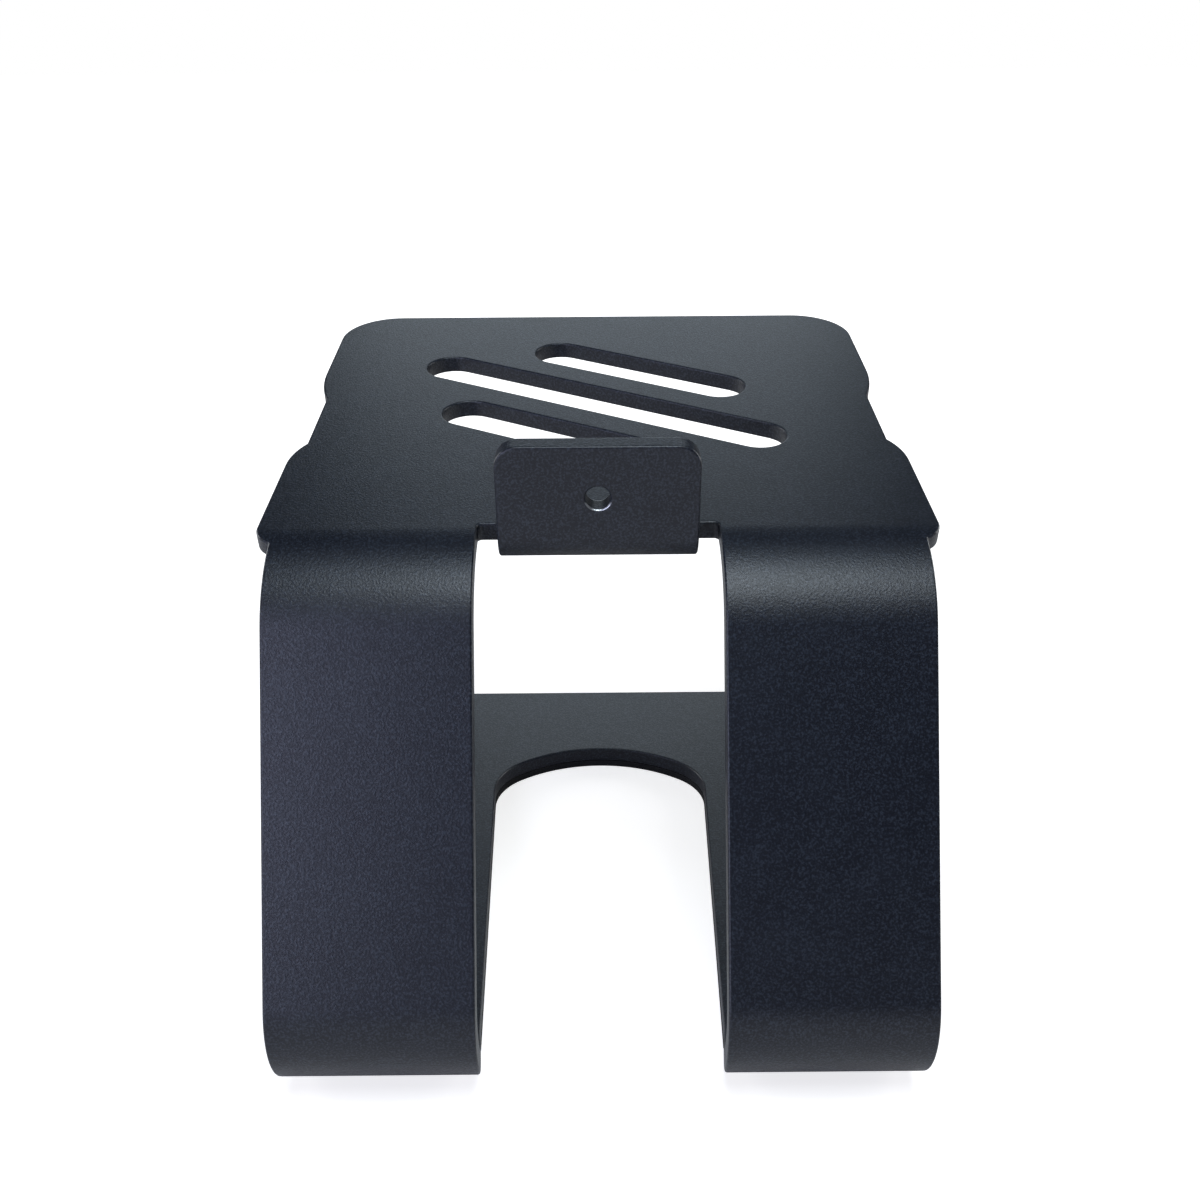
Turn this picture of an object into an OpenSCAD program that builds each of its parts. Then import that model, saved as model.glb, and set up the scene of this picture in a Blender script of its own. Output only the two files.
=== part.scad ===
// Desktop stand for one loudspeaker, bent from a single sheet of steel.
//
// A flat base lies on the desk, two legs rise from its rear edge and lean forward over it,
// and a slotted plate runs forward from their tops. Seen from the side the sheet is a C
// that is open to the front. The strip between the legs is cut away. At its top a tongue
// of the plate is bent up into a tab that keeps the loudspeaker from sliding back, and in
// the base the opening ends in an arch. A thin pad of the same outline is stuck under the
// base.
//
// Frame: X across the stand, Y forward, Z up. The origin is on the desk, under the middle
// of the stand. In the side view the first coordinate runs forward from the centre of the
// bottom bend, and the second runs up from the desk.

/* [Sheet] */
// Thickness of the steel sheet
sheet_t = 5; // [3:0.5:6]
// Width of the legs, the base and the waist of the plate
body_w = 160.6; // [140:0.2:200]
// Gap between the two legs
leg_gap = 60; // [52:1:76]

/* [Plate] */
// Length of the flat of the plate, from the top bend to its front edge
plate_len = 142.4; // [130:0.1:180]
// Rise of the plate towards its front, in degrees
plate_tilt = 8.021; // [0:0.001:12]
// Width that an ear adds on each side of the plate
ear_w = 4.2; // [2:0.1:8]
// How far the rear ears reach back past the start of the top bend
rear_ear_back = 2.4; // [1:0.1:4]
// Distance from the top bend to where the rear ears start to narrow
rear_ear_end = 34.5; // [20:0.5:40]
// Length of the soft step from the rear ears to the waist
ear_ramp = 11; // [8:0.5:20]
// Distance from the top bend to the front ears
front_ear_start = 85.5; // [75:0.5:100]
// Radius at the ends of the ears
ear_r = 3; // [1:0.5:4]
// Radius of the front corners of the plate
plate_corner_r = 18; // [8:1:28]

/* [Slots] */
// Width of a slot
slot_w = 16; // [8:1:20]
// Distance from one slot to the next, across them
slot_pitch = 25.6; // [22:0.1:29]
// Slant of the slots to the width of the plate, in degrees
slot_slant = 28.3; // [20:0.1:34]
// Distance from the top bend to the middle of the middle slot
slot_y = 74.6; // [70:0.1:80]
// Length of the middle slot between the centres of its round ends
mid_slot_len = 103; // [60:1:110]
// Length of an outer slot between the centres of its round ends
side_slot_len = 55.4; // [30:0.1:60]
// How far each outer slot is moved outwards along its slant
side_slot_shift = 0.7; // [0:0.1:6]

/* [Tab] */
// Width of the tab at its foot
tab_w = 48; // [40:0.5:50]
// Width of the tab at its top
tab_top_w = 46.4; // [38:0.2:50]
// Height of the tab over the top face of the plate
tab_h = 27; // [22:0.5:40]
// Distance from the top bend back to the rear face of the tab
tab_back = 10.7; // [9:0.1:16]
// Inside radius of the bend at the foot of the tab
tab_bend_r = 2; // [1:0.5:3]
// Radius of the top corners of the tab
tab_corner_r = 5.5; // [1:0.5:10]
// Diameter of the hole in the tab
tab_hole_d = 6; // [3:0.5:10]
// Height of the middle of the hole over the top face of the plate
tab_hole_h = 13.5; // [10:0.5:16]
// How far the gaps beside the tab run into the flat of the plate
notch_len = 1.4; // [1:0.1:4]
// Radius of the corners at the end of those gaps
notch_r = 1.2; // [0.5:0.1:2]

/* [Legs] */
// Lean of the legs from the upright, in degrees
leg_lean = 26; // [14:1:32]
// Length of the flat of a leg between its two bends
leg_len = 89.7; // [60:0.1:140]
// Outside radius of the top bend
top_bend_r = 30; // [20:1:40]
// Outside radius of the bottom bend
bottom_bend_r = 23; // [15:1:35]

/* [Base] */
// Length of the flat of the base, from the bottom bend to its front edge
base_len = 174; // [150:0.5:220]
// Radius of the front corners of the base
base_corner_r = 18; // [8:1:28]
// Width of the opening where the flat of the base starts
arm_gap = 64; // [60:0.2:70]
// Width of the opening where its arch starts
arch_w = 72; // [66:1:90]
// Depth of the arch, from its start to its crown
arch_len = 24.5; // [22:0.5:30]
// Radius of the tight bends at the sides of the arch
arch_side_r = 19; // [10:0.5:20]
// Material left between the crown of the arch and the front edge
arch_front = 40.5; // [20:0.5:60]
// Thickness of the anti-slip pad under the base
pad_t = 2.5; // [1:0.5:4]

/* [Hidden] */
$fn = 128;

steel = [0.15, 0.16, 0.20];
rubber = [0.09, 0.09, 0.10];

// Length that a cutter or a blank runs past what is cut
over = 1;
// Turn from one point of an arc to the next
arc_step = 4;

// Directions in the side view, up a leg and along the plate, and out of their outer faces
leg_up = [sin(leg_lean), cos(leg_lean)];
leg_out = [-cos(leg_lean), sin(leg_lean)];
plate_fore = [cos(plate_tilt), sin(plate_tilt)];
plate_out = [-sin(plate_tilt), cos(plate_tilt)];

// Centres of the bends, and the place on the top face where the flat of the plate starts
bottom_c = [0, pad_t + bottom_bend_r];
top_c = bottom_c + (bottom_bend_r - top_bend_r) * leg_out + leg_len * leg_up;
plate_start = top_c + top_bend_r * plate_out;

// The stand reaches from the back of the bottom bend to the front of the plate or the base
rear = -bottom_bend_r;
front = max(base_len, on_plate(plate_len, 0)[0], on_plate(plate_len, -sheet_t)[0]);
middle = (rear + front) / 2;

// Ears of the plate
ear_span = body_w + 2 * ear_w;
ear_end_r = min(ear_r, ear_w);
ramp_steps = 16;

// Tongue that carries the tab, and the gaps beside it
tongue_len = tab_back - tab_bend_r - sheet_t;
tab_bend_c = [-tongue_len, tab_bend_r];
notch_w = (leg_gap - tab_w) / 2;
notch_end_r = min(notch_r, notch_w / 2 - 0.1, notch_len - 0.1);

// Each side of the tab leans in towards the top by this much for each unit of height
tab_taper = (tab_w - tab_top_w) / (2 * tab_h);
tab_corner_h = tab_h - tab_corner_r;
tab_corner_c = [
    tab_w / 2 - tab_taper * tab_corner_h - tab_corner_r * sqrt(1 + tab_taper ^ 2),
    tab_corner_h
];

// The arch is a wide arc over two tight ones, and they meet without a kink
arch_start = base_len - arch_front - arch_len;
side_c = [arch_w / 2 - arch_side_r, arch_start];
crown_r = (side_c[0] ^ 2 + arch_len ^ 2 - arch_side_r ^ 2) / (2 * (arch_len - arch_side_r));
crown_c = [0, arch_start + arch_len - crown_r];
arch_join = atan2(side_c[1] - crown_c[1], side_c[0]);

// The place in the side view of a point so far along the plate and so far over its top face
function on_plate(along, up) = plate_start + along * plate_fore + up * plate_out;

// Points of an arc about a centre, between two directions
function arc(centre, r, from, to) =
    let (steps = ceil(abs(to - from) / arc_step))
    [for (i = [0:steps]) let (a = from + (to - from) * i / steps) centre + r * [cos(a), sin(a)]];

// An outline from its right half, which starts or ends beside or on the middle line
function mirrored(half) =
    concat(half, [for (i = [len(half) - 1:-1:0]) if (half[i][0] > 0) [-half[i][0], half[i][1]]]);

// A list of points without the first
function rest(points) = [for (i = [1:len(points) - 1]) points[i]];

// Draws its children on both sides of the stand's middle plane
module both_sides() {
    for (side = [0, 1])
        mirror([side, 0, 0])
            children();
}

// A rectangle across the stand, from one distance to another
module band(width, from, to) {
    translate([-width / 2, from])
        square([width, to - from]);
}

// What rounding takes off a corner at the origin that points to +X and +Y
module corner_cut(r) {
    translate([-r, -r])
        difference() {
            square(r + over);
            circle(r);
        }
}

// Runs an outline in the side view across the stand
module across(width, outline) {
    rotate([90, 0, 90])
        linear_extrude(width, center = true)
            polygon(outline);
}

// Lays what is drawn flat on the top face of the plate, with the start of the top bend along X
module laid_on_plate() {
    translate([0, plate_start[0], plate_start[1]])
        rotate([plate_tilt, 0, 0])
            children();
}

// A slot with round ends, along X
module slot(len) {
    band(len, -slot_w / 2, slot_w / 2);
    for (end = [-1, 1])
        translate([end * len / 2, 0])
            circle(d = slot_w);
}

// The three slots side by side across the plate
module slots() {
    translate([0, slot_y])
        rotate(-slot_slant)
            for (row = [-1, 0, 1])
                translate([row * side_slot_shift, row * slot_pitch])
                    slot(row == 0 ? mid_slot_len : side_slot_len);
}

// What is missing beside the waist, from the soft step of the rear ears to the front ears
module waist_cut() {
    ramp = [
        for (i = [0:ramp_steps])
            [
                body_w / 2 + ear_w * (1 + cos(180 * i / ramp_steps)) / 2,
                rear_ear_end + ear_ramp * i / ramp_steps
            ]
    ];
    outside = ear_span / 2 + 2 * over;
    polygon(concat(
        [[outside, rear_ear_end]],
        ramp,
        [[body_w / 2, front_ear_start], [outside, front_ear_start]]
    ));
    translate([ear_span / 2, front_ear_start])
        mirror([0, 1])
            corner_cut(ear_end_r);
}

// Gap beside the tongue, with a round corner on each side of its end
module notch() {
    difference() {
        translate([tab_w / 2, -over])
            square([notch_w, notch_len + over]);
        translate([leg_gap / 2, notch_len])
            corner_cut(notch_end_r);
        translate([tab_w / 2, notch_len])
            mirror([1, 0])
                corner_cut(notch_end_r);
    }
}

// Outline of the plate laid flat, running on over the tops of the legs
module plate_outline() {
    difference() {
        union() {
            band(ear_span, -rear_ear_back, plate_len);
            band(body_w, -top_bend_r, 0);
        }
        both_sides() {
            translate([ear_span / 2, plate_len])
                corner_cut(plate_corner_r);
            translate([ear_span / 2, -rear_ear_back])
                mirror([0, 1])
                    corner_cut(ear_end_r);
            waist_cut();
            notch();
        }
        slots();
    }
}

// What is cut from the blank of the tab, seen from behind, over the top face of the plate
module tab_cut() {
    difference() {
        band(tab_w + 2 * over, 0, tab_h + 2 * over);
        polygon(mirrored(concat(
            [[tab_w / 2, 0]],
            arc(tab_corner_c, tab_corner_r, atan(tab_taper), 90)
        )));
    }
    translate([0, tab_hole_h])
        circle(d = tab_hole_d);
}

// Plan of the opening between the legs and in the base
module opening() {
    polygon(mirrored(concat(
        [[leg_gap / 2, rear - 2 * over], [leg_gap / 2, rear + sheet_t], [arm_gap / 2, 0]],
        arc(side_c, arch_side_r, 0, arch_join),
        rest(arc(crown_c, crown_r, arch_join, 90))
    )));
}

// Plan of the base, from a line across the stand to its front edge
module base_outline(from) {
    difference() {
        band(body_w, from, base_len);
        both_sides()
            translate([body_w / 2, base_len])
                corner_cut(base_corner_r);
        opening();
    }
}

// The sheet bent to a C, once along its outer face and back along its inner face
module bent_blank() {
    base_front = base_len + over;
    plate_front = plate_len + over;
    across(ear_span + 2 * over, concat(
        [[base_front, pad_t]],
        arc(bottom_c, bottom_bend_r, 270, 180 - leg_lean),
        arc(top_c, top_bend_r, 180 - leg_lean, 90 + plate_tilt),
        [on_plate(plate_front, 0), on_plate(plate_front, -sheet_t)],
        arc(top_c, top_bend_r - sheet_t, 90 + plate_tilt, 180 - leg_lean),
        arc(bottom_c, bottom_bend_r - sheet_t, 180 - leg_lean, 270),
        [[base_front, pad_t + sheet_t]]
    ));
}

// The strip between the notches, from the front of the plate back to the tab and up
module tab_blank() {
    top = tab_h + over;
    across(tab_w, [
        for (q = concat(
            [[plate_len + over, 0], [0, 0]],
            arc(tab_bend_c, tab_bend_r, 270, 180),
            [[sheet_t - tab_back, top], [-tab_back, top]],
            arc(tab_bend_c, tab_bend_r + sheet_t, 180, 270),
            [[0, -sheet_t], [plate_len + over, -sheet_t]]
        )) on_plate(q[0], q[1])
    ]);
}

// Takes the strip between the legs out of the blank, over the opening of the base
module leg_gap_cut() {
    back = rear - over;
    across(leg_gap, [
        [back, bottom_c[1]],
        [plate_start[0], bottom_c[1]],
        on_plate(notch_len / 2, -sheet_t - over),
        on_plate(notch_len / 2, over),
        [back, plate_start[1] + over]
    ]);
}

// Takes the blank down to the width of the legs beside the legs and the base
module beside_legs_cut() {
    back = rear - over;
    ahead = front + 2 * over;
    both_sides()
        translate([(body_w + ear_w) / 2 + over, 0, 0])
            across(ear_w + 2 * over, [
                [back, -over],
                [ahead, -over],
                on_plate(plate_len + 2 * over, -sheet_t - over),
                on_plate(-rear_ear_back - over / 2, -sheet_t - over),
                on_plate(-rear_ear_back - over / 2, over),
                [back, plate_start[1] + over]
            ]);
}

// Cuts a blank that lies between two heights to an outline
module trim(from, to, size) {
    translate([0, 0, from])
        linear_extrude(to - from)
            difference() {
                square(2 * size, center = true);
                children();
            }
}

// The whole bent sheet
module stand_body() {
    reach = 2 * (front - rear) + ear_span;
    color(steel)
        translate([0, -middle, 0])
            difference() {
                union() {
                    difference() {
                        bent_blank();
                        leg_gap_cut();
                    }
                    tab_blank();
                }
                beside_legs_cut();
                trim(-over, bottom_c[1], reach)
                    base_outline(rear - over);
                laid_on_plate() {
                    trim(-sheet_t - over, over, reach)
                        plate_outline();
                    translate([0, sheet_t - tab_back + over, 0])
                        rotate([90, 0, 0])
                            linear_extrude(sheet_t + 2 * over)
                                tab_cut();
                }
            }
}

// Pad under the flat of the base
module base_pad() {
    color(rubber)
        translate([0, -middle, 0])
            linear_extrude(pad_t)
                base_outline(0);
}

stand_body();
base_pad();
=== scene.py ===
# %% [markdown]
# # A desktop stand bent from one sheet of steel
#
# The real stand is one sheet of steel, 5 mm thick. It is cut flat with all its slots and
# notches, folded into a C, and coated with a dark, finely grained powder. A thin rubber pad
# is stuck under its base. This script builds both the way the factory does: each outline is
# drawn flat, given its thickness and rounded cut edges, and only then folded in space.

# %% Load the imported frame
import math

import bpy
import numpy as np
from mathutils import Matrix, Vector
from mathutils.geometry import delaunay_2d_cdt


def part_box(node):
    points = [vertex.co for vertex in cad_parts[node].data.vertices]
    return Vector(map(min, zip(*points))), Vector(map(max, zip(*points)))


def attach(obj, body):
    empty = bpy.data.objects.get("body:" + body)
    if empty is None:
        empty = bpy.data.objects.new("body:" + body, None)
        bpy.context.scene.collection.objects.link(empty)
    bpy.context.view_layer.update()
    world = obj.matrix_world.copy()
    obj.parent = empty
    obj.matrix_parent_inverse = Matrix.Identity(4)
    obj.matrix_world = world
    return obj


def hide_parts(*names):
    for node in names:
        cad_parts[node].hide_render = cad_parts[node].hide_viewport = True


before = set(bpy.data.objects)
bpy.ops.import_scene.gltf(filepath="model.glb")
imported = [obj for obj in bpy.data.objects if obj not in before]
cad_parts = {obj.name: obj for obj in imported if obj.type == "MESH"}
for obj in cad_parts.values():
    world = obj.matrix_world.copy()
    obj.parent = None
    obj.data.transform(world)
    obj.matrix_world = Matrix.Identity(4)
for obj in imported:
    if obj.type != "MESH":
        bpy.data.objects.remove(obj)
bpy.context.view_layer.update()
scene = bpy.context.scene
MM = 0.001

# %% [markdown]
# ## The camera
#
# The photograph was taken from behind the stand, a little above it. The lens is 36 mm on a
# 36 mm wide sensor, which gives a square picture of 1200 by 1200 points. The camera leans
# down by 26 degrees and is turned a little about its own line of sight.

# %% Camera
CAMERA_LENS = 36.0
CAMERA_SENSOR = 36.0
CAMERA_PLACE = (-0.30 * MM, -313.17 * MM, 246.21 * MM)
CAMERA_DOWN = math.radians(26.002)
CAMERA_TURN = math.radians(0.132)
CAMERA_ROLL = math.radians(0.401)
CAMERA_NEAREST = 0.01

camera = bpy.data.objects.new("camera", bpy.data.cameras.new("camera"))
scene.collection.objects.link(camera)
camera.data.sensor_fit = "HORIZONTAL"
camera.data.lens = CAMERA_LENS
camera.data.sensor_width = CAMERA_SENSOR
camera.data.clip_start = CAMERA_NEAREST
camera.matrix_world = (
    Matrix.Translation(CAMERA_PLACE)
    @ Matrix.Rotation(-CAMERA_TURN, 4, "Z")
    @ Matrix.Rotation(math.pi / 2 - CAMERA_DOWN, 4, "X")
    @ Matrix.Rotation(-CAMERA_ROLL, 4, "Z")
)
scene.camera = camera
print("Camera at", [round(v, 3) for v in camera.location])

# %% [markdown]
# ## Sizes of the sheet
#
# These are the sizes of the source model, in metres. Only the ears and the waist of the plate,
# and the width of the tab, follow the photograph more closely than the source does. Lengths
# along the sheet are measured on its middle layer, because a sheet keeps that length when it
# is bent: the outside of a bend stretches and the inside shrinks.

# %% Sizes
SHEET_T = 5 * MM
PAD_T = 2.5 * MM
HALF_BODY = 80.3 * MM
HALF_WAIST = 81.0 * MM
HALF_EAR = 84.5 * MM

PLATE_LEN = 142.4 * MM
PLATE_TILT = math.radians(8.021)
REAR_EAR_START = 0.6 * MM
REAR_EAR_BACK_R = 6.5 * MM
REAR_EAR_END = 34.2 * MM
REAR_EAR_FRONT_R = 24 * MM
FRONT_EAR_START = 95.2 * MM
FRONT_EAR_R = 54 * MM
PLATE_CORNER_R = 18 * MM

LEG_LEAN = math.radians(26)
LEG_LEN = 89.7 * MM
BOTTOM_R = 23 * MM - SHEET_T / 2
TOP_R = 30 * MM - SHEET_T / 2

BASE_LEN = 174 * MM
BASE_CORNER_R = 18 * MM
HALF_GAP = 30 * MM
HALF_ARM_GAP = 32 * MM
HALF_ARCH = 36 * MM
ARCH_LEN = 24.5 * MM
ARCH_SIDE_R = 19 * MM
ARCH_FRONT = 40.5 * MM

# %% [markdown]
# ## How the sheet is folded
#
# One number, s, runs along the middle layer of the sheet: it is negative on the base, 0 where
# the bottom bend starts, and it goes on up the leg, round the top bend and along the plate.
# Seen from the side, each stretch is a straight line or an arc, so the place and the
# direction at any s are known exactly. The second number is x, across the stand, and the
# third is h, the distance out of the middle layer.

# %% The side view of the sheet as a function
BOTTOM_TURN = math.pi / 2 + LEG_LEAN
TOP_TURN = math.pi / 2 - LEG_LEAN - PLATE_TILT
S_LEG = BOTTOM_R * BOTTOM_TURN
S_TOP = S_LEG + LEG_LEN
S_PLATE = S_TOP + TOP_R * TOP_TURN
S_FRONT = S_PLATE + PLATE_LEN
BOTTOM_Z = PAD_T + SHEET_T / 2


def side_view(s):
    """Place (y, z) and heading of the middle layer at s.

    The heading is the angle from -Y towards +Z. It stays 0 on the base, grows by s over the
    radius in a bend, and is constant on a flat. The place is the sum of the steps so far:
    a flat adds its length along its heading, and an arc adds its radius times the change of
    (sin, -cos) of the heading.
    """
    base = np.minimum(s, 0)
    bottom = np.clip(s, 0, S_LEG) / BOTTOM_R
    leg = np.clip(s - S_LEG, 0, LEG_LEN)
    top = np.clip(s - S_TOP, 0, S_PLATE - S_TOP) / TOP_R
    plate = np.maximum(s - S_PLATE, 0)
    heading = bottom + top
    back = (
        base
        + BOTTOM_R * np.sin(bottom)
        + leg * math.cos(BOTTOM_TURN)
        + TOP_R * (np.sin(BOTTOM_TURN + top) - math.sin(BOTTOM_TURN))
        + plate * math.cos(BOTTOM_TURN + TOP_TURN)
    )
    up = (
        BOTTOM_R * (1 - np.cos(bottom))
        + leg * math.sin(BOTTOM_TURN)
        + TOP_R * (math.cos(BOTTOM_TURN) - np.cos(BOTTOM_TURN + top))
        + plate * math.sin(BOTTOM_TURN + TOP_TURN)
    )
    return -back, BOTTOM_Z + up, heading


plate_y, plate_z, _ = side_view(np.array([S_PLATE]))
print("The plate starts at y, z =", round(float(plate_y[0]) / MM, 2), round(float(plate_z[0]) / MM, 2))

# %% [markdown]
# The tab is part of the plate until a second fold turns it up. It lies between the legs on
# the flat sheet, beside the narrow notches that part it from them. So a point that is behind
# the start of the plate belongs to a leg or to the tab, and its x alone decides which. The
# value TO_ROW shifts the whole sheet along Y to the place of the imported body.

# %% The tab, and the whole fold
TAB_W = 48.2 * MM
TAB_TOP_W = 48.0 * MM
TAB_H = 27 * MM
TAB_BACK = 10.7 * MM
TAB_BEND_R = 2 * MM
TAB_CORNER_R = 5.5 * MM
TAB_HOLE_R = 3 * MM
TAB_HOLE_H = 13.5 * MM
NOTCH_LEN = 1.4 * MM
NOTCH_R = 1.2 * MM

TAB_R = TAB_BEND_R + SHEET_T / 2
TONGUE = TAB_BACK - TAB_BEND_R - SHEET_T
Q_UP = TONGUE + TAB_R * math.pi / 2
Q_TO_H = TAB_BEND_R - Q_UP
BESIDE_TAB = (TAB_W / 2 + HALF_GAP) / 2
TO_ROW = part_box("stand_body")[0].y + BOTTOM_R + SHEET_T / 2


def fold(x, s, h):
    """Points and frame of the folded sheet.

    The middle layer's place is carried out along its normal by h. The normal is the heading
    turned by a right angle, (-sin, -cos) in y and z. Behind the plate and between the
    notches the heading bends back by a quarter turn instead, about the tab's own bend.
    Returns the points, the direction along the sheet and the normal.
    """
    y, z, heading = side_view(s)
    q = np.clip(S_PLATE - s, 0, None)
    on_tab = (np.abs(x) < BESIDE_TAB) & (s > S_LEG) & (s < S_PLATE)
    bend = np.clip(q - TONGUE, 0, Q_UP - TONGUE) / TAB_R
    along = -np.minimum(q, TONGUE) - TAB_R * np.sin(bend)
    over = -SHEET_T / 2 + TAB_R * (1 - np.cos(bend)) + np.maximum(q - Q_UP, 0)
    c, d = math.cos(PLATE_TILT), math.sin(PLATE_TILT)
    corner_y, corner_z = float(plate_y[0]), float(plate_z[0])
    top_y, top_z = corner_y - SHEET_T / 2 * d, corner_z + SHEET_T / 2 * c
    y = np.where(on_tab, top_y + along * c - over * d, y)
    z = np.where(on_tab, top_z + along * d + over * c, z)
    heading = np.where(on_tab, math.pi - PLATE_TILT + bend, heading)
    run = np.stack([0 * x, -np.cos(heading), np.sin(heading)], -1)
    normal = np.stack([0 * x, -np.sin(heading), -np.cos(heading)], -1)
    place = np.stack([x, y + TO_ROW, z], -1) + h[..., None] * normal
    return place, run, normal


# %% [markdown]
# ## Outlines on the flat sheet
#
# Every outline is a closed chain of straight runs and arcs. The stand is the same on both
# sides, apart from its slanted slots, so only the right half of an outline is written and
# then mirrored. The steel always lies on the left of the way round: the outer edge runs
# anticlockwise and every opening runs clockwise.

# %% Helpers for outlines
STEP = 1.4 * MM
ARC_STEP = math.radians(6)
ARC_STRETCH = 1.5
TINY = 1e-9
SAME_POINT = 1e-7


def arc(cx, cy, r, start, end):
    """Points at even angles on a circle: centre plus r times (cos, sin), in degrees."""
    a, b = math.radians(start), math.radians(end)
    longest = STEP * ARC_STRETCH
    steps = max(2, math.ceil(abs(b - a) / ARC_STEP), math.ceil(abs(b - a) * r / longest))
    turn = np.linspace(a, b, steps + 1)
    return np.stack([cx + r * np.cos(turn), cy + r * np.sin(turn)], -1)


def mirrored(right):
    """A closed outline from its right half: the half, and the half again with -x, backwards."""
    left = right[::-1] * [-1, 1]
    return np.concatenate([right, left[np.abs(left[:, 0]) > TINY]])


def even(points):
    """The closed chain with long runs cut into equal steps, and doubled points left out."""
    ahead = np.roll(points, -1, 0)
    length = np.linalg.norm(ahead - points, axis=1)
    apart = length > SAME_POINT
    points, ahead, length = points[apart], ahead[apart], length[apart]
    cuts = np.maximum(1, np.ceil(length / STEP)).astype(int)
    which = np.repeat(np.arange(len(points)), cuts)
    share = (np.arange(len(which)) - np.repeat(np.cumsum(cuts) - cuts, cuts)) / cuts[which]
    return points[which] + (ahead - points)[which] * share[:, None]


# %% [markdown]
# The outer edge starts at the middle of the base's front edge. It goes up the right side of
# the base and the leg, round the rear ear, along the waist, round the front ear and back
# along the front edge of the plate. Each ear swells out of the sheet on an arc. The arc
# touches the ear's full width and meets the narrower edge at an angle.

# %% Outer edge of the flat sheet
def shoulder(narrow, r, y, widens):
    """An arc of radius r that reaches the full width of an ear at y.

    Where the ear widens it ends there, and otherwise it starts there. Its other end has moved
    in to the narrower half width, at the angle whose cosine is 1 - (ear - narrow) / r.
    """
    turn = math.degrees(math.acos(1 - (HALF_EAR - narrow) / r))
    start, end = (-turn, 0) if widens else (0, turn)
    return arc(HALF_EAR - r, S_PLATE + y, r, start, end)


outer = mirrored(
    np.concatenate([
        [[0, -BASE_LEN]],
        arc(HALF_BODY - BASE_CORNER_R, -BASE_LEN + BASE_CORNER_R, BASE_CORNER_R, -90, 0),
        [[HALF_BODY, 0]],
        shoulder(HALF_BODY, REAR_EAR_BACK_R, REAR_EAR_START, True),
        shoulder(HALF_WAIST, REAR_EAR_FRONT_R, REAR_EAR_END, False),
        shoulder(HALF_WAIST, FRONT_EAR_R, FRONT_EAR_START, True),
        arc(HALF_EAR - PLATE_CORNER_R, S_FRONT - PLATE_CORNER_R, PLATE_CORNER_R, 0, 90),
        [[0, S_FRONT]],
    ])
)
outer = even(outer)
print("Outer edge:", len(outer), "points")

# %% [markdown]
# The opening between the legs ends in the base as an arch, which is a wide arc over two tight
# ones. At its other end it goes round the tab: up the side of the tab, round its top corner
# and across. The tab is a little narrower at its top than at its foot. Each arm of the base
# widens along the first part of the bend, up to the width of the leg above it.

# %% Opening between the legs
side_x = HALF_ARCH - ARCH_SIDE_R
crown_r = (side_x**2 + ARCH_LEN**2 - ARCH_SIDE_R**2) / (2 * (ARCH_LEN - ARCH_SIDE_R))
arch_y = BASE_LEN - ARCH_FRONT - ARCH_LEN
crown_y = arch_y + ARCH_LEN - crown_r
arch_join = math.degrees(math.atan2(arch_y - crown_y, side_x))
arch = np.concatenate([
    arc(0, crown_y, crown_r, 90, arch_join),
    arc(side_x, arch_y, ARCH_SIDE_R, arch_join, 0)[1:],
])
ARM_BACK = 18 * MM
ARM_POINTS = 12
turn = np.linspace(0, math.asin(ARM_BACK / BOTTOM_R), ARM_POINTS)
arm_x = HALF_ARM_GAP - (HALF_ARM_GAP - HALF_GAP) * np.sin(turn) * BOTTOM_R / ARM_BACK

taper = (TAB_W - TAB_TOP_W) / 2 / TAB_H
corner_h = TAB_H - TAB_CORNER_R
corner_x = TAB_W / 2 - taper * corner_h - TAB_CORNER_R * math.sqrt(1 + taper**2)
tab_right = np.concatenate([
    [[TAB_W / 2, S_PLATE + Q_TO_H]],
    arc(corner_x, S_PLATE + Q_TO_H - corner_h, TAB_CORNER_R, -math.degrees(taper), -90),
])
opening = mirrored(
    np.concatenate([
        arch * [1, -1],
        np.stack([arm_x, BOTTOM_R * turn], -1),
        arc(HALF_GAP - NOTCH_R, S_PLATE + NOTCH_LEN - NOTCH_R, NOTCH_R, 0, 90),
        arc(TAB_W / 2 + NOTCH_R, S_PLATE + NOTCH_LEN - NOTCH_R, NOTCH_R, 90, 180),
        tab_right,
        [[0, S_PLATE + Q_TO_H - TAB_H]],
    ])
)
opening = even(opening)[::-1]
print("Opening:", len(opening), "points; crown radius", round(crown_r / MM, 1), "mm")

# %% [markdown]
# The plate has three slanted slots, and the tab has one hole. A slot is a straight run with a
# half circle at each end.

# %% Slots and hole
SLOT_R = 8 * MM
SLOT_PITCH = 25.6 * MM
SLOT_SLANT = math.radians(28.3)
SLOT_Y = 74.6 * MM
MID_SLOT_LEN = 103 * MM
SIDE_SLOT_LEN = 55.4 * MM
SIDE_SLOT_SHIFT = 0.7 * MM


def slot(row, length):
    """A slot: two half circles, moved along and across its slant, then turned by the slant."""
    right = arc(length / 2, 0, SLOT_R, -90, 90)
    ring = np.concatenate([right, -right]) + [row * SIDE_SLOT_SHIFT, row * SLOT_PITCH]
    c, d = math.cos(SLOT_SLANT), math.sin(SLOT_SLANT)
    return even(ring @ [[c, -d], [d, c]] + [0, S_PLATE + SLOT_Y])[::-1]


slots = [slot(row, MID_SLOT_LEN if row == 0 else SIDE_SLOT_LEN) for row in (-1, 0, 1)]
hole = arc(0, S_PLATE + Q_TO_H - TAB_HOLE_H, TAB_HOLE_R, 360, 0)[:-1]
print("Slots:", [len(ring) for ring in slots], "points; hole:", len(hole), "points")

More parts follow.
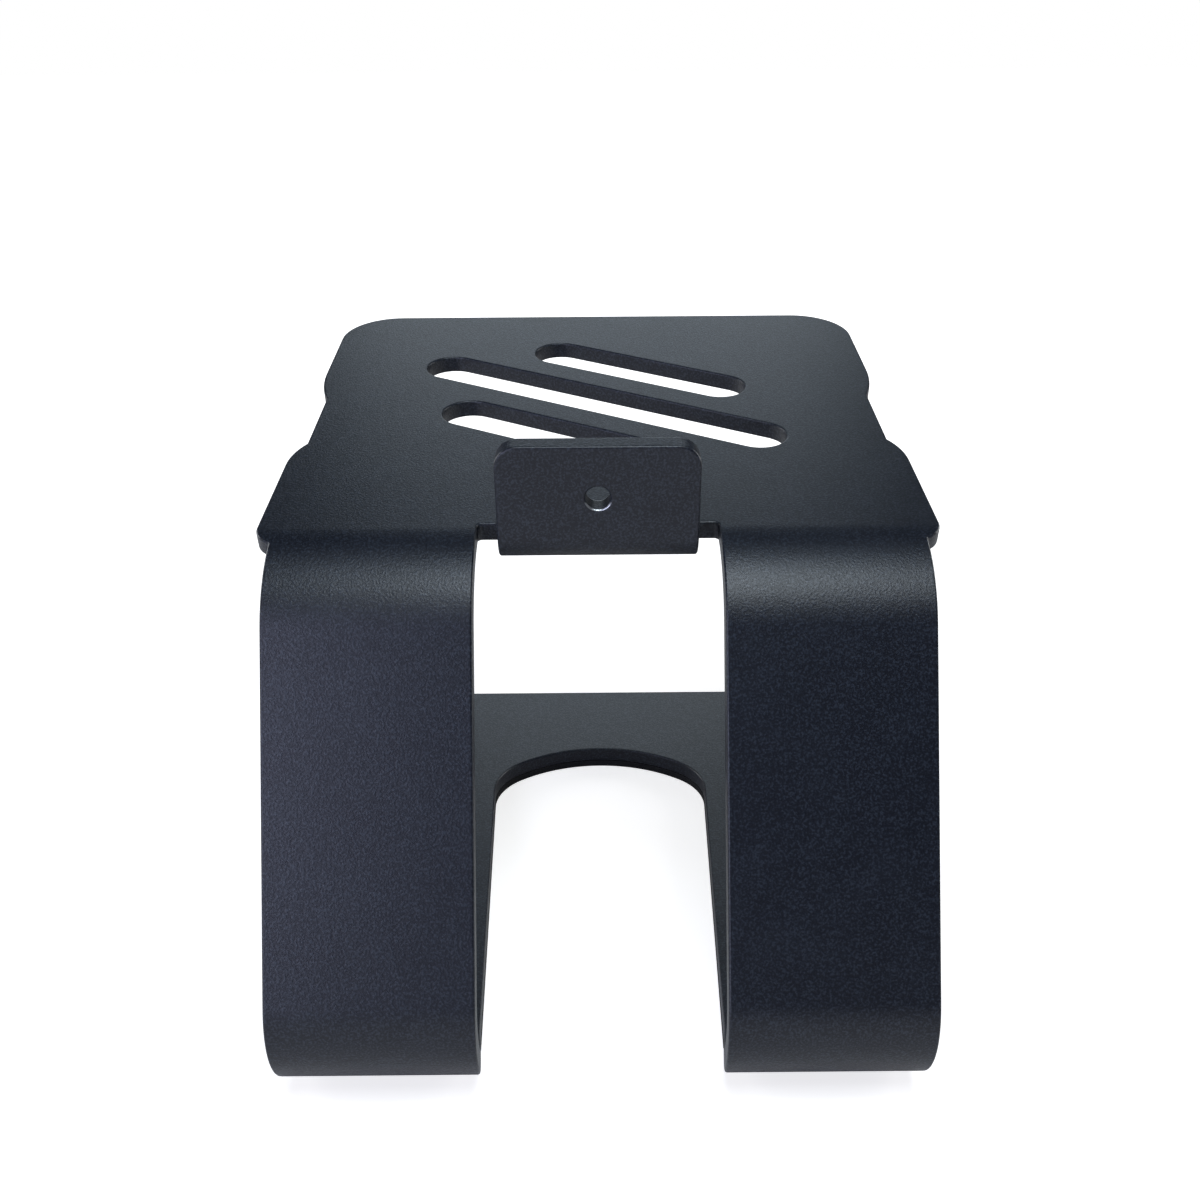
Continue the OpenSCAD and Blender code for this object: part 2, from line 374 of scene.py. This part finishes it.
# %% [markdown]
# ## From outlines to a sheet with thickness
#
# A cut edge of coated steel is never sharp: the powder flows round it and leaves a radius of
# about half a millimetre. So each outline becomes a strip that runs from one face, round the
# edge, down the wall, round the other edge and on to the other face. Between the strips each
# face is filled with triangles. A constrained Delaunay triangulation does this on the flat
# sheet, with a grid of points inside so that the bends stay round. Last, every point is
# folded, and its normal is worked out by formula, so flats shade flat and bends shade smooth.

# %% Helpers for the sheet
EDGE_STEPS = 4
GRID_X = 4 * MM
GRID_CLEAR = STEP * 0.7
RAY_BATCH = 2000
BORDER_PARTS = 40
FILL_ALL = 0


def inset(ring, by):
    """The outline moved to its left by a distance: each point along the mean of its two edges'
    normals, by the distance over the cosine of half the angle between them."""
    edge = np.roll(ring, -1, 0) - ring
    edge /= np.linalg.norm(edge, axis=1, keepdims=True)
    left = np.stack([-edge[:, 1], edge[:, 0]], -1)
    mean = left + np.roll(left, 1, 0)
    mean /= np.linalg.norm(mean, axis=1, keepdims=True)
    cosine = np.sum(mean * left, 1, keepdims=True)
    return ring + mean * by / cosine, -mean


def inside(points, rings):
    """Whether each point is in the sheet.

    A ray from it towards +X then crosses the outlines an odd number of times.
    """
    odd = np.zeros(len(points), bool)
    for ring in rings:
        a, b = ring, np.roll(ring, -1, 0)
        for part in np.array_split(np.arange(len(points)), max(1, len(points) // RAY_BATCH)):
            x, y = points[part, 0:1], points[part, 1:2]
            between = (a[:, 1] > y) != (b[:, 1] > y)
            rise = np.where(b[:, 1] == a[:, 1], 1, b[:, 1] - a[:, 1])
            cross = a[:, 0] + (y - a[:, 1]) * (b[:, 0] - a[:, 0]) / rise
            odd[part] ^= (np.sum(between & (x < cross), 1) % 2).astype(bool)
    return odd


# %% [markdown]
# Before the fold a face is flat, so it can be filled in two dimensions. Grid points close to
# the border are left out, because they would make thin triangles. The triangulation also
# covers the openings, so a triangle is kept only where its middle is in the steel.

# %% Fill a flat face with triangles
def filled(rings, rows):
    """Triangles of a flat face between outlines, with grid points on the given rows of s."""
    x = np.arange(-HALF_EAR, HALF_EAR + GRID_X, GRID_X)
    grid = np.stack(np.meshgrid(x, rows), -1).reshape(-1, 2)
    grid = grid[inside(grid, rings)]
    border = np.concatenate(rings)
    gap = np.full(len(grid), np.inf)
    for part in np.array_split(border, BORDER_PARTS):
        gap = np.minimum(gap, np.linalg.norm(grid[:, None] - part[None], axis=2).min(1))
    grid = grid[gap > GRID_CLEAR]
    points = np.concatenate([border, grid])
    size = [len(ring) for ring in rings]
    start = np.concatenate([[0], np.cumsum(size)[:-1]])
    edges = np.concatenate([
        np.stack([first + np.arange(n), first + (np.arange(n) + 1) % n], -1)
        for first, n in zip(start, size)
    ])
    vectors = [Vector(p) for p in points.tolist()]
    found = delaunay_2d_cdt(vectors, edges.tolist(), [], FILL_ALL, TINY, True)
    _, _, triangles, came_from, _, _ = found
    source = np.array([old[0] if old else -1 for old in came_from])
    faces = source[np.array([f for f in triangles if len(f) == 3])]
    return points, faces[inside(points[faces].mean(1), rings)]


# %% [markdown]
# The strips and the two faces share their border points, so the mesh is closed. The lower
# face has the same triangles as the upper one, with their corners in the opposite order.

# %% Make a folded sheet
def sheet_mesh(name, rings, rows, thickness, edge_r, shape):
    """A mesh of a folded sheet from its flat outlines.

    The edge strip at angle f, from 0 to a quarter turn, lies in from the outline by
    edge_r (1 - cos f) and out of the middle layer by thickness / 2 - edge_r (1 - sin f).
    Its normal is cos f outwards in the sheet plus sin f along the sheet's own normal.
    """
    f = np.linspace(math.pi / 2, 0, EDGE_STEPS + 1)
    depth = np.concatenate([edge_r * (1 - np.cos(f)), edge_r * (1 - np.cos(f[::-1]))])
    high = thickness / 2 - edge_r * (1 - np.sin(f))
    high = np.concatenate([high, -high[::-1]])
    tilt = np.concatenate([f, -f[::-1]])
    layers = len(depth)

    strips = [[inset(ring, d) for d in depth] for ring in rings]
    flat = np.concatenate([np.concatenate([s[0] for s in strip]) for strip in strips])
    away = np.concatenate([np.concatenate([s[1] for s in strip]) for strip in strips])
    sizes = [len(ring) for ring in rings]
    out_of = np.concatenate([np.repeat(high, n) for n in sizes])
    lean = np.concatenate([np.repeat(tilt, n) for n in sizes])
    starts = np.concatenate([[0], np.cumsum(sizes)[:-1]]) * layers

    quads = []
    for first, n in zip(starts, sizes):
        i = np.arange(n)
        for k in range(layers - 1):
            a, b = first + k * n, first + (k + 1) * n
            quads.append(np.stack([a + i, b + i, b + (i + 1) % n, a + (i + 1) % n], -1))
    quads = np.concatenate(quads)

    points, faces = filled([strip[0][0] for strip in strips], rows)
    edge_count = sum(sizes)
    inner = points[edge_count:]
    upper = np.concatenate([first + np.arange(n) for first, n in zip(starts, sizes)])
    lower = upper + np.repeat([(layers - 1) * n for n in sizes], sizes)
    total = len(flat)
    upper = np.concatenate([upper, total + np.arange(len(inner))])
    lower = np.concatenate([lower, total + len(inner) + np.arange(len(inner))])
    flat = np.concatenate([flat, inner, inner])
    away = np.concatenate([away, np.zeros((2 * len(inner), 2))])
    half = np.full(len(inner), thickness / 2)
    out_of = np.concatenate([out_of, half, -half])
    quarter = np.full(len(inner), math.pi / 2)
    lean = np.concatenate([lean, quarter, -quarter])

    place, run, normal = shape(flat[:, 0], flat[:, 1], out_of)
    across = np.zeros_like(run)
    across[:, 0] = away[:, 0]
    outward = across + away[:, 1:2] * run
    shade = np.cos(lean)[:, None] * outward + np.sin(lean)[:, None] * normal
    shade /= np.linalg.norm(shade, axis=1, keepdims=True)

    mesh = bpy.data.meshes.new(name)
    polygons = quads.tolist() + upper[faces].tolist() + lower[faces[:, ::-1]].tolist()
    mesh.from_pydata(place.tolist(), [], polygons)
    mesh.shade_smooth()
    mesh.normals_split_custom_set_from_vertices(shade.tolist())
    mesh.validate()
    piece = bpy.data.objects.new(name, mesh)
    scene.collection.objects.link(piece)
    triangles = 2 * len(quads) + 2 * len(faces)
    print(name, "has", len(place), "points and", triangles, "triangles")
    return piece


# %% [markdown]
# ## The steel sheet
#
# The grid has a row every 4 mm on the flats, every 2.5 degrees in the two large bends and
# every 10 degrees in the small bend of the tab.

# %% Steel body
STEEL_EDGE_R = 0.6 * MM
BEND_ROW = math.radians(2.5)
TAB_BEND_ROW = math.radians(10)


def rows_between(start, end, step):
    """Even rows from start up to, but without, the end."""
    return np.linspace(start, end, max(1, math.ceil((end - start) / step)), endpoint=False)


steel_rows = np.concatenate([
    rows_between(-BASE_LEN, 0, GRID_X),
    rows_between(0, S_LEG, BOTTOM_R * BEND_ROW),
    rows_between(S_LEG, S_TOP, GRID_X),
    rows_between(S_TOP, S_PLATE, TOP_R * BEND_ROW),
    rows_between(S_PLATE, S_FRONT, GRID_X),
])
tab_bend_rows = S_PLATE - TONGUE - rows_between(0, Q_UP - TONGUE, TAB_R * TAB_BEND_ROW)
steel_rows = np.sort(np.concatenate([steel_rows, tab_bend_rows]))
body = sheet_mesh(
    "bent_steel_body", [outer, opening, *slots, hole], steel_rows, SHEET_T, STEEL_EDGE_R, fold
)
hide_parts("stand_body")
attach(body, "root")

# %% [markdown]
# ## The rubber pad
#
# The pad has the outline of the base, without the bends behind it. It is the same surface
# again, laid further out than the steel by half of both thicknesses.

# %% Pad under the base
PAD_EDGE_R = 0.4 * MM
pad_outline = mirrored(
    np.concatenate([
        [[0, -BASE_LEN]],
        arc(HALF_BODY - BASE_CORNER_R, -BASE_LEN + BASE_CORNER_R, BASE_CORNER_R, -90, 0),
        [[HALF_BODY, 0], [HALF_ARM_GAP, 0]],
        (arch * [1, -1])[::-1],
    ])
)


def pad_fold(x, s, h):
    """The fold of the steel, carried out by half of the steel and half of the pad."""
    return fold(x, s, h + (SHEET_T + PAD_T) / 2)


pad = sheet_mesh(
    "rubber_base_pad",
    [even(pad_outline)],
    rows_between(-BASE_LEN, 0, GRID_X),
    PAD_T,
    PAD_EDGE_R,
    pad_fold,
)
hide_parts("base_pad")
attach(pad, "root")

# %% [markdown]
# ## Finishes
#
# The steel has a dark blue-black powder coat with a fine sandy grain. The grains are about
# half a millimetre wide: each stands up a little, and some are slightly lighter. Under them
# lies a slow unevenness, where the powder flowed thicker or thinner. All patterns are noise
# on Object coordinates, so they keep their real size on every face.


# %% Helpers for materials
def new_material(name):
    """A material with its shader, its Object coordinates, a maker of nodes, and its links."""
    material = bpy.data.materials.new(name)
    material.use_nodes = True
    nodes, links = material.node_tree.nodes, material.node_tree.links
    shader = nodes["Principled BSDF"]

    def add(kind, inputs=None, **settings):
        """Adds a node, links or sets its inputs, and sets its other settings."""
        node = nodes.new(kind)
        for key, value in settings.items():
            setattr(node, key, value)
        for key, value in (inputs or {}).items():
            if isinstance(value, bpy.types.NodeSocket):
                links.new(value, node.inputs[key])
            else:
                node.inputs[key].default_value = value
        return node

    place = add("ShaderNodeTexCoord").outputs["Object"]
    return material, shader, place, add, links


def noise(add, place, size, detail, roughness=0.5):
    """Noise whose grains are about size metres wide, because the scale is grains per metre."""
    inputs = {"Vector": place, "Scale": 1 / size, "Detail": detail, "Roughness": roughness}
    return add("ShaderNodeTexNoise", inputs).outputs["Fac"]


def spread(add, value, low, high, to_low, to_high):
    """Maps a value from one range to another, and stops at its ends."""
    inputs = {"Value": value, "From Min": low, "From Max": high, "To Min": to_low, "To Max": to_high}
    return add("ShaderNodeMapRange", inputs).outputs["Result"]


def mixed(add, share, first, second):
    """The first colour where share is 0, the second where it is 1."""
    inputs = {"Factor_Float": share, "A_Color": first, "B_Color": second}
    node = add("ShaderNodeMix", data_type="RGBA")
    for socket in node.inputs:
        value = inputs.get(socket.identifier)
        if isinstance(value, bpy.types.NodeSocket):
            node.id_data.links.new(value, socket)
        elif value is not None:
            socket.default_value = value
    return next(o for o in node.outputs if o.identifier == "Result_Color")


def vector_math(add, operation, first, second, output):
    """One step of vector arithmetic."""
    node = add("ShaderNodeVectorMath", {0: first, 1: second}, operation=operation)
    return node.outputs[output]


def raised(add, height, depth, shader, links):
    """A bump that stands up by depth where height is 1."""
    bump = add("ShaderNodeBump", {"Height": height, "Distance": depth, "Strength": 1.0})
    links.new(bump.outputs["Normal"], shader.inputs["Normal"])


# %% Powder coat
COAT_DARK = (0.0010, 0.0025, 0.0075, 1)
COAT_LIGHT = (0.0205, 0.0265, 0.0385, 1)
COAT_GRAIN = 0.56 * MM
COAT_CLOUD = 14 * MM
COAT_DRIFT = 0.08
COAT_DEPTH = 0.085 * MM
COAT_ROUGH_LOW = 0.42
COAT_ROUGH_HIGH = 0.34
COAT_SPECULAR = 0.5
GRAIN_DETAIL = 3
GRAIN_HARSH = 0.6
CLOUD_DETAIL = 2
SPECK_FROM = 0.47
SPECK_TO = 0.64
NOISE_LOW = 0.3
NOISE_HIGH = 0.7

coat, shader, place, add, links = new_material("powder_coat")
grain = noise(add, place, COAT_GRAIN, GRAIN_DETAIL, GRAIN_HARSH)
cloud = noise(add, place, COAT_CLOUD, CLOUD_DETAIL)
speck = spread(add, grain, SPECK_FROM, SPECK_TO, 0, 1)
drift = spread(add, cloud, NOISE_LOW, NOISE_HIGH, -COAT_DRIFT, COAT_DRIFT)
share = add("ShaderNodeMath", {0: speck, 1: drift}, operation="ADD", use_clamp=True)
painted = mixed(add, share.outputs[0], COAT_DARK, COAT_LIGHT)
rough = spread(add, grain, NOISE_LOW, NOISE_HIGH, COAT_ROUGH_LOW, COAT_ROUGH_HIGH)
links.new(rough, shader.inputs["Roughness"])
raised(add, grain, COAT_DEPTH, shader, links)
shader.inputs["Specular IOR Level"].default_value = COAT_SPECULAR
body.data.materials.append(coat)
print("Powder coat: grains of", COAT_GRAIN / MM, "mm")

# %% [markdown]
# Round the hole in the tab, the lower rim carries a painted highlight: a thin bright crescent of
# metallic colour, laid where the high lamps catch the rim. Its mask is made of three parts: the
# distance from the axis of the hole, which is the length of a cross product, the distance from
# the middle of the sheet, which is a dot product, and the height below the axis.

# %% Painted highlight at the rim of the hole
# A bright metallic colour, painted on the lower rim as a highlight where the high lamps catch it.
PAINTED_RIM_HIGHLIGHT = (0.60, 0.61, 0.63, 1)
RIM_R = 3.30 * MM
RIM_DEPTH = 0.5 * MM
RIM_TOP = -1.2 * MM
RIM_LOW = -2.2 * MM
RIM_BLUR = 0.05 * MM

hole_s = S_PLATE + Q_TO_H - TAB_HOLE_H
hole_place, _, hole_axis = (v[0] for v in fold(*np.array([[0.0], [hole_s], [0.0]])))
offset = vector_math(add, "SUBTRACT", place, hole_place, "Vector")
off_axis = vector_math(add, "CROSS_PRODUCT", offset, hole_axis, "Vector")
radius = vector_math(add, "LENGTH", off_axis, (0, 0, 0), "Value")
along = vector_math(add, "DOT_PRODUCT", offset, hole_axis, "Value")
along = add("ShaderNodeMath", {0: along}, operation="ABSOLUTE").outputs[0]
rim_start = SHEET_T / 2 - RIM_DEPTH
in_ring = spread(add, radius, RIM_R, RIM_R + RIM_BLUR, 1, 0)
near_face = spread(add, along, rim_start, rim_start + RIM_BLUR, 0, 1)
height = add("ShaderNodeSeparateXYZ", {0: offset}).outputs["Z"]
low = spread(add, height, RIM_LOW, RIM_TOP, 1, 0)
# This mask places the painted highlight: close to the wall of the hole, near a face, and low on the
# rim.
rim_highlight = add("ShaderNodeMath", {0: in_ring, 1: near_face}, operation="MULTIPLY").outputs[0]
rim_highlight = add("ShaderNodeMath", {0: rim_highlight, 1: low}, operation="MULTIPLY").outputs[0]
links.new(mixed(add, rim_highlight, painted, PAINTED_RIM_HIGHLIGHT), shader.inputs["Base Color"])
links.new(rim_highlight, shader.inputs["Metallic"])
print("Hole at", [round(float(v) / MM, 2) for v in hole_place], "mm")

# %% [markdown]
# The pad is plain black rubber. It is duller than the coat, and its cut edge is finely
# porous.

# %% Rubber
RUBBER_DARK = (0.008, 0.008, 0.009, 1)
RUBBER_LIGHT = (0.018, 0.018, 0.019, 1)
RUBBER_PORE = 0.4 * MM
RUBBER_DEPTH = 0.06 * MM
RUBBER_ROUGH = 0.85
RUBBER_SPECULAR = 0.3
PORE_DETAIL = 2
PORE_FROM = 0.35
PORE_TO = 0.65

rubber, shader, place, add, links = new_material("pad_rubber")
pore = noise(add, place, RUBBER_PORE, PORE_DETAIL)
share = spread(add, pore, PORE_FROM, PORE_TO, 0, 1)
links.new(mixed(add, share, RUBBER_DARK, RUBBER_LIGHT), shader.inputs["Base Color"])
shader.inputs["Roughness"].default_value = RUBBER_ROUGH
shader.inputs["Specular IOR Level"].default_value = RUBBER_SPECULAR
raised(add, pore, RUBBER_DEPTH, shader, links)
pad.data.materials.append(rubber)
print("Rubber: pores of", RUBBER_PORE / MM, "mm")

# %% [markdown]
# ## Floor, background and light
#
# The stand is on a white studio floor that goes on past the edge of the picture. The floor
# looks white to the camera because it glows for camera rays only: that adds nothing to the
# light on the stand. Near the stand it glows less, so the soft shadow round the feet stays,
# and further out it glows fully. It doesn't glow for glossy rays, because the dark coat would
# mirror it and turn grey.

# %% Floor
FLOOR_HALF = 6.0
FLOOR_COLOUR = (0.84, 0.80, 0.77, 1)
FLOOR_ROUGH = 0.9
FLOOR_GLOW = 0.69
FLOOR_GLOW_FAR = 1.0
GLOW_NEAR = 0.15
GLOW_FAR = 0.6
WHITE = (1, 1, 1, 1)

floor_mesh = bpy.data.meshes.new("floor")
corners = np.array([[-1, -1, 0], [1, -1, 0], [1, 1, 0], [-1, 1, 0]]) * FLOOR_HALF
floor_mesh.from_pydata(corners.tolist(), [], [[0, 1, 2, 3]])
floor = bpy.data.objects.new("floor", floor_mesh)
scene.collection.objects.link(floor)

paper, shader, place, add, links = new_material("white_floor")
shader.inputs["Base Color"].default_value = FLOOR_COLOUR
shader.inputs["Roughness"].default_value = FLOOR_ROUGH
shader.inputs["Specular IOR Level"].default_value = 0.0
shader.inputs["Emission Color"].default_value = WHITE
camera_ray = add("ShaderNodeLightPath").outputs["Is Camera Ray"]
distance = vector_math(add, "LENGTH", place, (0, 0, 0), "Value")
glow = spread(add, distance, GLOW_NEAR, GLOW_FAR, FLOOR_GLOW, FLOOR_GLOW_FAR)
glow = add("ShaderNodeMath", {0: glow, 1: camera_ray}, operation="MULTIPLY").outputs[0]
links.new(glow, shader.inputs["Emission Strength"])
floor_mesh.materials.append(paper)
print("Floor of", 2 * FLOOR_HALF, "m")

# %% [markdown]
# The world behind the floor is white to the camera and almost dark to everything else, so
# only the lamps light the stand.

# %% World
WORLD_LIGHT = 0.02
WORLD_SEEN = 1.0

world = bpy.data.worlds.new("studio")
scene.world = world
world.use_nodes = True
nodes, links = world.node_tree.nodes, world.node_tree.links
background = nodes["Background"]
background.inputs["Color"].default_value = WHITE
path = nodes.new("ShaderNodeLightPath")
level = nodes.new("ShaderNodeMapRange")
level.inputs["To Min"].default_value = WORLD_LIGHT
level.inputs["To Max"].default_value = WORLD_SEEN
links.new(path.outputs["Is Camera Ray"], level.inputs["Value"])
links.new(level.outputs["Result"], background.inputs["Strength"])
scene.view_settings.view_transform = "Standard"
print("World light", WORLD_LIGHT, "and white behind the stand")

# %% [markdown]
# Six soft boxes light the stand, all a little bluish. Two hang high behind the camera and
# draw the bright band along the upper bends. One stands low on the left behind the camera and
# makes the left leg lighter than the right one. One is beyond the stand, and lifts the base
# and the plate, which lie flat and mirror what is in front of them. The last two stand low
# at the sides, and light the cut edges.

# %% Lamps
AIM = Vector((0, 0, 0.08))
LAMPS = {
    # name: turn from straight behind towards the left, height in degrees, distance, size,
    # power in watts and colour
    "high_box": (-12, 62, 1.0, 0.40, 3.8, (0.86, 0.95, 1.00)),
    "top_box": (-8, 76, 1.0, 0.45, 2.5, (0.75, 0.88, 1.00)),
    "left_box": (38, 16, 0.9, 0.55, 4.0, (0.70, 0.73, 1.00)),
    "front_box": (180, 20, 1.2, 0.70, 2.2, (0.80, 0.91, 1.00)),
    "left_strip": (112, 12, 1.1, 0.60, 5.0, (0.95, 0.98, 1.00)),
    "right_strip": (-112, 12, 1.1, 0.60, 5.0, (0.95, 0.98, 1.00)),
}


def soft_box(name, turn, rise, distance, size, power, colour):
    """A square area lamp that faces the stand from a direction given by two angles."""
    lamp = bpy.data.lights.new(name, "AREA")
    lamp.shape = "SQUARE"
    lamp.size = size
    lamp.energy = power
    lamp.color = colour
    holder = bpy.data.objects.new(name, lamp)
    a, b = math.radians(turn), math.radians(rise)
    back = Vector((-math.sin(a) * math.cos(b), -math.cos(a) * math.cos(b), math.sin(b)))
    holder.location = AIM + back * distance
    holder.rotation_euler = (-back).to_track_quat("-Z", "Y").to_euler()
    scene.collection.objects.link(holder)
    print(name, "at", [round(v, 2) for v in holder.location], "with", power, "W")


for name, values in LAMPS.items():
    soft_box(name, *values)
